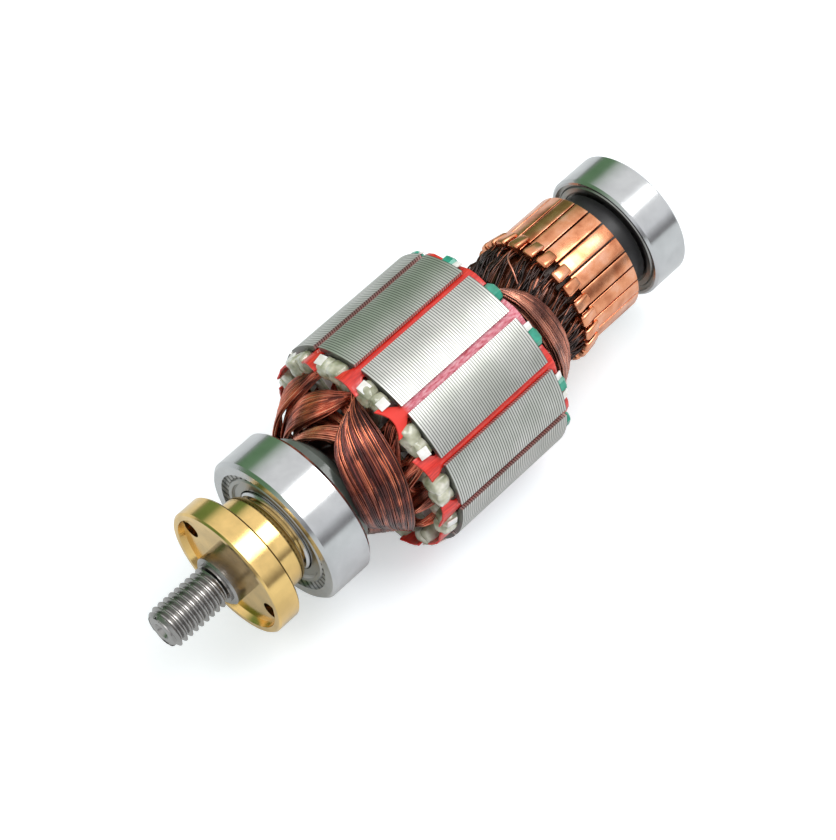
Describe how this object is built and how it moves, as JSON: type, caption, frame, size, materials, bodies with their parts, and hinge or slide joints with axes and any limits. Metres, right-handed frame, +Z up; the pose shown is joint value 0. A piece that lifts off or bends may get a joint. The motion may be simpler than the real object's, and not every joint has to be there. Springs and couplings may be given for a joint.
{
  "type": "motor rotor",
  "caption": "Wound armature of a small commutator motor, on a threaded shaft with two shielded ball bearings and a brass collar.",
  "frame": {"origin": "on the shaft's axis, half way along the front bearing", "axes": "+X along the shaft from the threaded end to the commutator, +Z up, a slot of the stack facing down"},
  "size_m": [0.1206, 0.043, 0.043],
  "materials": {
    "shaft": "turned steel, bright crests on the thread",
    "brass_collar": "turned, glossy",
    "front_bearing_steel": "ground and polished",
    "rear_bearing_steel": "ground and polished",
    "ball_steel": "polished",
    "cage_steel": "pressed steel",
    "shield_steel": "pressed sheet",
    "spacer_plastic": "dark olive grey, glossy",
    "lamination_steel": "ground over the edges of thin laminations",
    "cream_insulator": "cream resin",
    "green_insulator": "green resin",
    "liner_paper": "white insulating paper",
    "wedge_red": "red vulcanised fibre",
    "winding_copper": "enamelled copper wire, brown",
    "commutator_copper": "turned copper",
    "commutator_moulding": "black moulding",
    "black_plastic": "black"
  },
  "bodies": {
    "rotor": {"shaft": "shaft", "brass_collar": "brass_collar", "front_inner_ring": "front_bearing_steel", "rear_inner_ring": "rear_bearing_steel", "front_spacer": "spacer_plastic", "lamination_stack": "lamination_steel", "front_insulator": "cream_insulator", "rear_insulator": "green_insulator", "slot_liners": "liner_paper", "slot_wedge_01": "wedge_red", "slot_wedge_02": "wedge_red", "slot_wedge_03": "wedge_red", "slot_wedge_04": "wedge_red", "slot_wedge_05": "wedge_red", "slot_wedge_06": "wedge_red", "slot_wedge_07": "wedge_red", "slot_wedge_08": "wedge_red", "slot_wedge_09": "wedge_red", "slot_wedge_10": "wedge_red", "slot_wedge_11": "wedge_red", "slot_wedge_12": "wedge_red", "coil_01": "winding_copper", "coil_02": "winding_copper", "coil_03": "winding_copper", "coil_04": "winding_copper", "coil_05": "winding_copper", "coil_06": "winding_copper", "coil_07": "winding_copper", "coil_08": "winding_copper", "coil_09": "winding_copper", "coil_10": "winding_copper", "coil_11": "winding_copper", "coil_12": "winding_copper", "lead_wires": "winding_copper", "commutator_bars": "commutator_copper", "commutator_hub": "commutator_moulding", "rear_spacer": "black_plastic"},
    "front_outer": {"front_outer_ring": "front_bearing_steel", "front_shields": "shield_steel"},
    "front_rolling_set": {"front_balls": "ball_steel", "front_cage": "cage_steel"},
    "rear_outer": {"rear_outer_ring": "rear_bearing_steel", "rear_shields": "shield_steel"},
    "rear_rolling_set": {"rear_balls": "ball_steel", "rear_cage": "cage_steel"}
  },
  "joints": [
    {"name": "front_outer_spin", "type": "hinge", "parent": "rotor", "child": "front_outer", "pos_m": [0, 0, 0], "axis": [1, 0, 0], "continuous": true},
    {"name": "front_cage_spin", "type": "hinge", "parent": "rotor", "child": "front_rolling_set", "pos_m": [0, 0, 0], "axis": [1, 0, 0], "continuous": true},
    {"name": "rear_outer_spin", "type": "hinge", "parent": "rotor", "child": "rear_outer", "pos_m": [0.08415, 0, 0], "axis": [1, 0, 0], "continuous": true},
    {"name": "rear_cage_spin", "type": "hinge", "parent": "rotor", "child": "rear_rolling_set", "pos_m": [0.08415, 0, 0], "axis": [1, 0, 0], "continuous": true}
  ],
  "couplings": [
    {"joint": "front_cage_spin", "follows": "front_outer_spin", "ratio": 0.61586},
    {"joint": "rear_cage_spin", "follows": "rear_outer_spin", "ratio": 0.6287}
  ]
}
